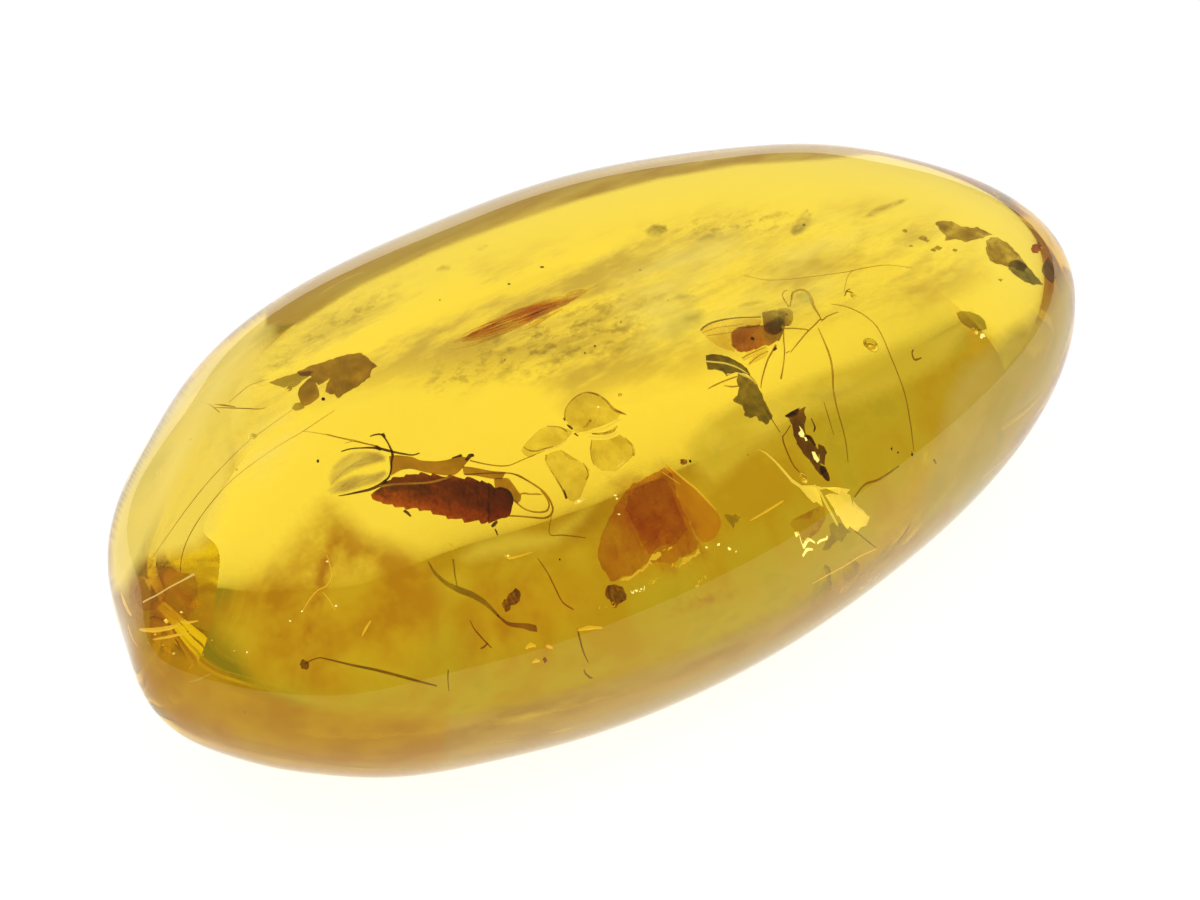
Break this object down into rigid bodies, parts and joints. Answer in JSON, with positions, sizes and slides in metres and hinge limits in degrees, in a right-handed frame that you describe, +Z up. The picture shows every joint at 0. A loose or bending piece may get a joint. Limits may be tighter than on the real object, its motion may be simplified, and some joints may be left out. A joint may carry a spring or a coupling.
{
  "type": "insect in amber",
  "caption": "Polished oblong pebble of clear yellow amber with insects and plant scraps sealed inside, lying on a flat facet.",
  "frame": {"origin": "middle of the stone's box at the level of the flat facet that it lies on", "axes": "+X along the stone towards the end with the fly and the seed, +Z up"},
  "size_m": [0.0344, 0.019, 0.0095],
  "materials": {
    "amber": "hand-polished fossil resin, clear golden yellow",
    "insect_shell": "dark red-brown insect shell, faintly glossy",
    "plant_matter": "rough brown bark, leaf and wood scraps",
    "pale_film": "thin pale golden film, half clear"
  },
  "bodies": {
    "root": {"amber_lower": "amber", "amber_upper": "amber", "large_insect": "insect_shell", "fly": "insect_shell", "slim_insect": "insect_shell", "leaf_fragment": "plant_matter", "bark_strip": "plant_matter", "bark_flake": "plant_matter", "bark_plume": "plant_matter", "wood_block": "plant_matter", "edge_debris": "plant_matter", "seed": "plant_matter", "stalk": "plant_matter", "twig": "plant_matter", "brown_lump": "plant_matter", "pale_lobes": "pale_film", "gold_flake": "pale_film"}
  },
  "joints": []
}
